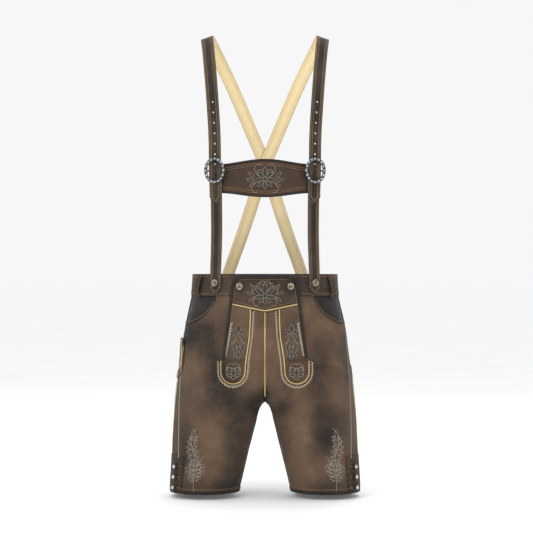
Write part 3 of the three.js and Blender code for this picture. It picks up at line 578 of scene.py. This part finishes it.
seam = [(x, -599 - 11 + abs(x) * 0.22) for x in np.linspace(-66, 66, 30)]
tan.stitches(lay(GARMENT, [(x, z - 3.4) for x, z in seam]))
tan.stitches(lay(GARMENT, [(x, z + 4.0) for x, z in seam]))
tan.stitches(lay(GARMENT, [(x, WAIST - 11) for x in np.linspace(-52, 52, 20)]))
for x in (-4.2, 4.2):
    tan.stitches(lay(GARMENT, [(x, z) for z in np.linspace(-616, -775, 20)]))

# Along the chest bar: 1 is its upper edge, -1 its lower.
for sign in (1, -1):
    line = []
    for x in np.linspace(-92, 92, 40):
        swell = (1 + math.cos(math.pi * x / 107)) / 2
        z = (-290 + 11 * swell - 9) if sign > 0 else (-353 - 10 * swell + 9)
        line.append((x, z))
    for shift in (0, 4.5):
        tan.stitches(lay(CROSSBAR, [(x, z - sign * shift) for x, z in line]))


# ------------------------------------------------------------------ brace stitching

# The brace's middle line on the wearer's left: x, y, z and the outward lean of its face.
BRACE = np.array([
    (108, -93.8, -575, 28), (108, -92.4, -531, 28), (105.5, -97, -450, 24), (106, -101, -370, 21),
    (107, -103, -300, 20), (110, -101.5, -220, 19), (114.5, -95, -150, 19), (119.5, -80, -88, 19),
    (125.5, -47, -30, 19), (129.5, 0, 0, 19), (118, 40, -18, 17), (100, 68, -52, 14), (73, 88, -107, 10),
    (29, 101, -210, 3), (0, 104, -280, 0), (-33, 104, -383, -8), (-56, 105.5, -452, -13),
    (-79, 108.6, -516, -18), (-98, 107, -575, -24)], float)


def brace_at(t):
    """The middle line's row at t, on a smooth curve through the rows."""
    i = min(len(BRACE) - 2, int(t))
    f = t - i
    a, b, c, d = [BRACE[min(len(BRACE) - 1, max(0, i + k))] for k in (-1, 0, 1, 2)]
    square = (2 * a - 5 * b + 4 * c - d) * f * f
    cube = (3 * b - a - 3 * c + d) * f ** 3
    return 0.5 * (2 * b + (c - a) * f + square + cube)


def brace_line(tree, side, start, stop, offset, steps=160, end_offset=None, face=1):
    """A line along a brace, offset mm from its middle (to end_offset if given); face -1 is its inside."""
    out = []
    for k, t in enumerate(np.linspace(start, stop, steps)):
        across_by = offset if end_offset is None else offset + (end_offset - offset) * k / (steps - 1)
        here, ahead = brace_at(t), brace_at(min(len(BRACE) - 1.001, t + 0.02))
        along = Vector(ahead[:3] - here[:3]).normalized()
        lean = math.radians(here[3])
        outward = Vector((0, -along.z, along.y)).normalized() * math.cos(lean)
        outward.x = math.sin(lean)
        outward = (outward - along * outward.dot(along)).normalized()
        across = along.cross(outward)
        p = (Vector(here[:3]) + across * across_by) * MM
        flip = Vector((side, 1, 1))
        d = -outward * flip * face
        hit, n, _, _ = tree.ray_cast(p * flip - d * 0.03, d, 0.04)
        if hit:
            out.append(hit - d * 0.3 * MM)
    return out


for s, side in SIDES:
    for offset in (-11.6, -7.2, 7.2, 11.6):
        reach = 3.12 + max(0, (abs(offset) - 7) * 0.012)
        tan.stitches(brace_line(STRAPS[s], side, reach, 17.9, offset), 3.2, 0.8, 0.45)
        tan.stitches(brace_line(LOWER[s], side, 0.34, 4.0, offset * 0.92, 60), 3.2, 0.8, 0.45)
        tan.stitches(brace_line(BACKING[s], side, 4.5, 17.6, offset, face=-1), 3.2, 0.8, 0.3)
        inset = (13 - abs(offset)) * 0.006
        tan.stitches(brace_line(STRAPS[s], side, reach, 2.965 + inset, offset, 14, 0), 3.0, 0.8, 0.45)
        tan.stitches(brace_line(LOWER[s], side, 0.34, 0.08 + inset * 4, offset * 0.92, 14, 0), 3.0, 0.8, 0.45)

# The braces are darker along the middle and rubbed lighter at the edges.
BRACE_MIDDLE = np.array([brace_at(t)[:3] for t in np.linspace(0, 17.99, 500)]) * MM
DEPTH_COUNTS = (1, 0.35, 1)
for s, side in SIDES:
    for node, reach in ((f"strap_{s}", 14.25), (f"lower_strap_{s}", 13.2)):
        mesh = SHELLS[node].data
        points = np.array([tuple(v.co) for v in mesh.vertices]) * np.array((side, 1, 1))
        nearest = [np.min(np.linalg.norm((BRACE_MIDDLE - q) * DEPTH_COUNTS, axis=1)) for q in points]
        edge = np.clip((np.array(nearest) / MM / reach - 0.42) / 0.3, 0, 1)
        mesh.attributes["shade"].data.foreach_set("value", (0.22 - 0.32 * edge).astype(np.float32))

tan.piece("stitching_tan", TAN_THREAD, "leather")
white.piece("scalloped_seams", WHITE_THREAD, "cream_leather")


# ------------------------------------------------------------------ embroidery

outline, satin, vine = Threads(), Threads(), Threads()


def motif_leaf(tree, cx, cz, angle, length, width, dark=True):
    """A satin-stitched leaf with a light outline, its stalk at (cx, cz)."""
    cos, sin = math.cos(math.radians(angle)), math.sin(math.radians(angle))
    shape = []
    for k in range(20):
        a = 2 * math.pi * k / 20
        along = length * (0.5 - 0.5 * math.cos(a))
        half = width / 2 * math.sin(a) * (1 - 0.35 * (0.5 - 0.5 * math.cos(a)))
        shape.append((along, half))

    def spot(along, half, lift):
        x, z = cx + along * cos - half * sin, cz + along * sin + half * cos
        hit = on_front(tree, x, z)
        return hit[0] + hit[1] * lift * MM if hit else None

    rings = [[spot(0.5 * length + (a - 0.5 * length) * k, h * k, lift) for a, h in shape]
             for k, lift in ((0.94, 0.1), (0.9, 0.55), (0.5, 0.95))]
    if any(p is None for ring in rings for p in ring):
        return
    if dark:
        satin.fill(rings)
    edge = [spot(a, h, 0.45) for a, h in shape]
    if all(edge):
        (outline if dark else vine).tube(edge + edge[:1], (0.5 if dark else 0.36) * MM, 5)


def motif_curl(tree, cx, cz, start, turn, size, dark=True):
    """A stem that winds into a curl: starts at (cx, cz), heading start degrees."""
    x, z, heading, line = cx, cz, start, []
    steps = 26
    for i in range(steps):
        line.append((x, z))
        stride = size / steps * 2.2 * (1 - 0.55 * i / steps)
        heading += turn / steps * (0.5 + 1.1 * i / steps)
        x += stride * math.cos(math.radians(heading))
        z += stride * math.sin(math.radians(heading))
    path = [on_front(tree, *p) for p in line]
    if all(path):
        (outline if dark else vine).tube([p + n * 0.4 * MM for p, n in path], (0.6 if dark else 0.42) * MM, 5)


def motif(tree, cx, cz, parts, mirrored=True, flip=1, dark=True):
    """Sews a motif's parts round (cx, cz); mirrored ones come in pairs."""
    for kind, x, z, angle, size, extra in parts:
        for sign in ((1, -1) if mirrored and (x or angle % 180 != 90) else (1,)):
            turn = angle if sign * flip > 0 else 180 - angle
            px = cx + sign * flip * x
            if kind == "leaf":
                motif_leaf(tree, px, cz + z, turn, size, extra, dark)
            else:
                motif_curl(tree, px, cz + z, turn, extra * sign * flip, size, dark)


# Each motif, in mm and degrees from its middle:
# a leaf's x, z, angle, length and width; a curl's x, z, angle, size and turn.
CREST = [
    ("leaf", 0, -4, 90, 24, 13), ("leaf", 3, -7, 42, 24, 10), ("leaf", 3, -10, -4, 22, 9),
    ("leaf", 3, -13, -48, 14, 8), ("leaf", 0, -12, 270, 14, 9), ("curl", 7, 4, 40, 22, 250),
    ("curl", 12, -8, -10, 24, -230), ("leaf", 24, 4, 62, 15, 7), ("leaf", 27, -4, 14, 15, 7),
    ("leaf", 24, -12, -34, 14, 6), ("curl", 3, 14, 60, 16, -250), ("curl", 22, -6, 40, 18, 200),
]
CHEST_MOTIF = [
    ("leaf", 0, 2, 90, 22, 13), ("leaf", 2, 1, 40, 20, 10), ("leaf", 3, -4, 2, 20, 9),
    ("leaf", 2, -6, -42, 18, 9), ("leaf", 0, -6, 270, 18, 9), ("curl", 10, 2, 26, 30, 230),
    ("curl", 12, -8, -6, 26, -220), ("leaf", 24, 2, 42, 16, 8), ("leaf", 25, -4, 4, 15, 8),
    ("leaf", 22, -10, -38, 15, 7), ("curl", 3, 13, 60, 15, -240),
]
TONGUE_TOP = [
    ("leaf", 0, 18, 90, 19, 11), ("leaf", 1, 17, 38, 15, 8), ("leaf", 2, 13, -12, 11, 6),
    ("leaf", 2, -32, 68, 34, 7), ("leaf", 9, -22, 96, 26, 6), ("curl", 2, 9, -30, 20, -200),
    ("leaf", 0, -14, 90, 16, 7), ("leaf", 0, -22, 270, 16, 9), ("leaf", 2, -26, 330, 12, 7),
]
TONGUE_END = [
    ("curl", 0, -17, 24, 34, 210), ("leaf", 0, -10, 90, 18, 10), ("leaf", 3, 1, 40, 14, 7),
    ("curl", 1, 4, 60, 14, -240), ("leaf", 3, -9, 10, 13, 7),
]
VINE = [("curl", 0, -72, 84, 56, 60), ("curl", 4, -26, 110, 44, -70), ("curl", 0, 14, 70, 40, 80),
        ("leaf", 0, 50, 88, 20, 9)]
for z, reach, wide in ((-46, 15, 9), (-38, 22, 11), (-30, 24, 12), (-22, 20, 11), (-12, 15, 9), (0, 13, 8),
                       (12, 14, 8), (24, 12, 7), (36, 12, 6), (46, 10, 6)):
    lean = 4 * math.sin(z / 15)
    VINE += [("leaf", 2 + lean, z, 34, reach, wide), ("leaf", -2 + lean, z + 3, 146, reach, wide),
             ("curl", 3 + lean, z, 20, reach, 260), ("curl", -3 + lean, z, 160, reach, -260)]
motif(GARMENT, 0, -570, CREST)
motif(CROSSBAR, 0, -321, CHEST_MOTIF)
for s, side in SIDES:
    motif(GARMENT, side * 58, -678, TONGUE_TOP)
    motif(GARMENT, side * 69, -744, TONGUE_END)
    motif(GARMENT, side * 157, -942, VINE, False, side, False)
outline.piece("embroidery_outline", BEIGE_THREAD, "cream_leather")
vine.piece("embroidery_vine", GREY_THREAD, "cream_leather")
satin.piece("embroidery_satin", DARK_THREAD, "dark_leather")


# ------------------------------------------------------------------ buckle wreaths and button faces

wreath, centres, rims, domes, hearts = Threads(), Threads(), Threads(), Threads(), Threads()
LEAVES = 16
LEAF_RING = (19.6, 25.2)     # half width and half height of the wreath's middle line, mm
LEAF = (4.6, 1.9)            # half length and half width of a leaf, mm
for s, _ in SIDES:
    ring = tree_of([f"buckle_{s}"])
    low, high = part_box(f"buckle_{s}")
    cx, cz = (low[0] + high[0]) / 2 / MM, (low[2] + high[2]) / 2 / MM
    for k in range(LEAVES):
        a = 2 * math.pi * k / LEAVES
        for turn in (35, -35):
            u, v = LEAF_RING[0] * math.cos(a), LEAF_RING[1] * math.sin(a)
            ahead = Vector(((cx + u) * MM, -0.4, (cz + v) * MM))
            hit, n, _, _ = ring.ray_cast(ahead, Vector((0, 1, 0)), 0.4)
            if not hit:
                continue
            n = -n if n.y > 0 else n
            heading = math.radians(math.degrees(a) + 90 + turn)
            d = Vector((math.cos(heading), 0, math.sin(heading)))
            d = (d - n * d.dot(n)).normalized()
            w = n.cross(d)
            rings = []
            for scale, lift in ((1, -0.6), (0.82, 1.1), (0.25, 1.9)):
                outer = [d * (LEAF[0] * math.cos(q)) + w * (LEAF[1] * math.sin(q))
                         for q in np.linspace(0, 2 * math.pi, 9)[:-1]]
                rings.append([hit + p * scale * MM + n * lift * MM for p in outer])
            wreath.fill(rings)
LEAF_SILVER = silver("leaf_silver", srgb(78, 78, 78), srgb(206, 208, 210))
wreath.piece("buckle_leaves", LEAF_SILVER, "buckle_metal")

# Rings of a button's centre: share of the button's radius, height off its face (mm).
DOME = ((0.6, -1.4), (0.58, 0.5), (0.42, 1.7), (0.2, 2.2))
HEART = ((0.42, -1.6), (0.4, -0.35), (0.1, -0.2))
LEG_BUTTON = (8.3, 2.4)      # radius, and how far its face is from its middle, mm
HORN_BUTTON = (9.2, 2.2)
THREAD_REACH = 2.2           # half the side of the square that the sewing thread crosses, mm
for node, ob in NODES.items():
    if not node.startswith("button"):
        continue
    co = np.array([tuple(v.co) for v in ob.data.vertices])
    middle = co.mean(0)
    low_axis = np.linalg.svd(co - middle)[2][2]
    outward = Vector(low_axis).normalized()
    if outward.y * middle[1] < 0:
        outward = -outward
    u = outward.cross(Vector((0, 0, 1))).normalized()
    v = outward.cross(u)
    leg = "leg" in node
    size, thick = LEG_BUTTON if leg else HORN_BUTTON
    face = Vector(middle) + outward * thick * MM
    circle = [math.cos(q) * u + math.sin(q) * v for q in np.linspace(0, 2 * math.pi, 25)[:-1]]
    ring_path = [face - outward * 0.5 * MM + c * size * 0.93 * MM for c in circle]
    rims.tube(ring_path + ring_path[:1], 1.25 * MM, 8)
    profile = DOME if leg else HEART
    disc = [[face + c * r * size * MM + outward * h * MM for c in circle] for r, h in profile]
    (domes if leg else hearts).fill(disc)
    if leg:
        continue
    at = face - outward * 0.1 * MM
    for a, b in (((-1, -1), (1, 1)), ((-1, 1), (1, -1))):
        ends = [at + (u * p + v * q) * THREAD_REACH * MM for p, q in (a, b)]
        centres.tube([ends[0], (ends[0] + ends[1]) / 2 + outward * 0.5 * MM, ends[1]], 0.5 * MM, 6)
centres.piece("button_threads", BEIGE_THREAD, "cream_leather")
rims.piece("button_rims", RIM, "dark_horn")
domes.piece("button_domes", POLISHED, "buckle_metal")
BROWN_HORN = horn("horn_brown", srgb(120, 88, 60), srgb(86, 62, 44), srgb(50, 38, 30))
hearts.piece("button_hearts", BROWN_HORN, "horn")


# ------------------------------------------------------------------ floor, light, camera

FLOOR_Z = CAD_BOX[0][2] - 0.012
FLOOR_RADIUS = 40
RIM_POINTS = 64
floor_mesh = bpy.data.meshes.new("floor")
rim = [(FLOOR_RADIUS * math.cos(a), FLOOR_RADIUS * math.sin(a), FLOOR_Z)
       for a in np.linspace(0, 2 * math.pi, RIM_POINTS + 1)[:-1]]
floor_mesh.from_pydata(rim, [], [list(range(RIM_POINTS))])
floor = bpy.data.objects.new("floor", floor_mesh)
bpy.context.scene.collection.objects.link(floor)
floor_material, floor_tree, floor_shader = new_material("pale_floor")
floor_cloud = noise(floor_tree, 3, 2, 0.4)
floor_pale = ramp(floor_tree, floor_cloud, 0.3, 0.7, (0.95, 0.95, 0.95, 1), (0.98, 0.98, 0.98, 1))
floor_tree.links.new(floor_pale, floor_shader.inputs["Base Color"])
floor_shader.inputs["Roughness"].default_value = 0.9
floor_mesh.materials.append(floor_material)

# The world's light, and the slightly darker white that is seen behind the object.
world = bpy.data.worlds.new("studio")
world.use_nodes = True
sky = world.node_tree
light = sky.nodes["Background"]
light.inputs["Color"].default_value = (1, 1, 1, 1)
light.inputs["Strength"].default_value = 0.95
seen = sky.nodes.new("ShaderNodeBackground")
seen.inputs["Color"].default_value = (1, 1, 1, 1)
seen.inputs["Strength"].default_value = 0.93
ray = sky.nodes.new("ShaderNodeLightPath")
either = sky.nodes.new("ShaderNodeMixShader")
sky.links.new(ray.outputs["Is Camera Ray"], either.inputs["Fac"])
sky.links.new(light.outputs[0], either.inputs[1])
sky.links.new(seen.outputs[0], either.inputs[2])
sky.links.new(either.outputs[0], sky.nodes["World Output"].inputs["Surface"])
bpy.context.scene.world = world

AIM = Vector((0, 0, -0.55))


def area_light(name, place, size, power):
    data = bpy.data.lights.new(name, "AREA")
    data.size = size
    data.energy = power
    ob = bpy.data.objects.new(name, data)
    bpy.context.scene.collection.objects.link(ob)
    ob.location = place
    ob.rotation_euler = (AIM - Vector(place)).to_track_quat("-Z", "Y").to_euler()


area_light("key", (-1.6, -2.6, 1.0), 1.6, 30)
area_light("fill", (2.0, -2.4, 0.2), 2.0, 10)
area_light("top", (0, -0.2, 2.2), 2.0, 12)
area_light("rear", (0.6, 2.0, 0.8), 1.8, 14)

camera_data = bpy.data.cameras.new("camera")
camera_data.sensor_width = 36
camera_data.lens = 117
camera = bpy.data.objects.new("camera", camera_data)
camera.location = (0.0034, -3.9, -0.514)
camera.rotation_euler = (math.pi / 2, 0, 0)
bpy.context.scene.collection.objects.link(camera)
bpy.context.scene.camera = camera
bpy.context.scene.view_settings.view_transform = "Standard"
